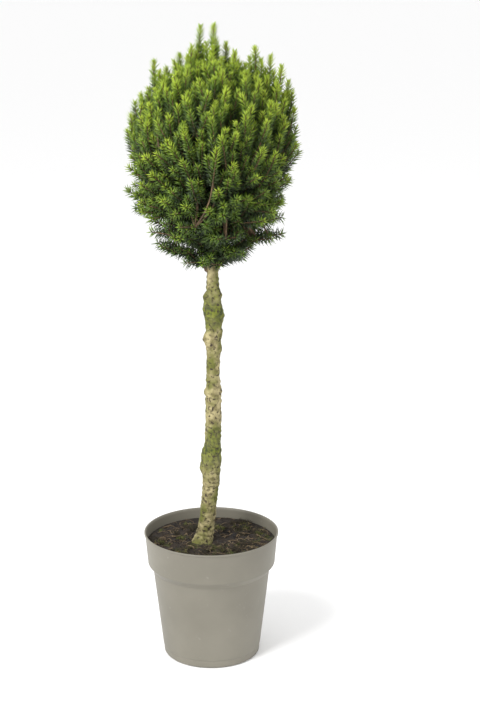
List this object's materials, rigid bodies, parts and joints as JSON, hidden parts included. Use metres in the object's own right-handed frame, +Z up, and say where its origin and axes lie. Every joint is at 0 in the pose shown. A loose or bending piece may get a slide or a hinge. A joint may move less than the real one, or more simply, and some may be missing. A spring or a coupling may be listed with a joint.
{
  "type": "dwarf white spruce grown as a standard in a plant pot",
  "caption": "Dwarf white spruce with a dense round crown on a clear knobbly stem, standing in a taupe plastic plant pot.",
  "frame": {"origin": "centre of the pot's flat underside", "axes": "+Z up the stem; the front, which the picture shows, faces -Y; +X to its right"},
  "size_m": [0.2244, 0.2193, 0.8204],
  "materials": {
    "pot": "matte moulded plastic, taupe grey",
    "compost": "rough dark peat with fibres and a little moss",
    "bark": "pale rough bark with green algae",
    "twig_bark": "thin brown bark",
    "needles": "waxy green needles, lime at the tips"
  },
  "bodies": {
    "root": {"pot": "pot", "potting_compost": "compost", "trunk": "bark", "top_needles": "needles", "flank_bough_1": "twig_bark", "flank_needles_1": "needles", "flank_bough_2": "twig_bark", "flank_needles_2": "needles", "flank_bough_3": "twig_bark", "flank_needles_3": "needles", "flank_bough_4": "twig_bark", "flank_needles_4": "needles", "flank_bough_5": "twig_bark", "flank_needles_5": "needles", "flank_bough_6": "twig_bark", "flank_needles_6": "needles", "flank_bough_7": "twig_bark", "flank_needles_7": "needles", "flank_bough_8": "twig_bark", "flank_needles_8": "needles", "skirt_bough_1": "twig_bark", "skirt_needles_1": "needles", "skirt_bough_2": "twig_bark", "skirt_needles_2": "needles", "skirt_bough_3": "twig_bark", "skirt_needles_3": "needles", "skirt_bough_4": "twig_bark", "skirt_needles_4": "needles", "skirt_bough_5": "twig_bark", "skirt_needles_5": "needles", "skirt_bough_6": "twig_bark", "skirt_needles_6": "needles", "skirt_bough_7": "twig_bark", "skirt_needles_7": "needles", "skirt_bough_8": "twig_bark", "skirt_needles_8": "needles", "skirt_bough_9": "twig_bark", "skirt_needles_9": "needles", "skirt_bough_10": "twig_bark", "skirt_needles_10": "needles"}
  },
  "joints": []
}
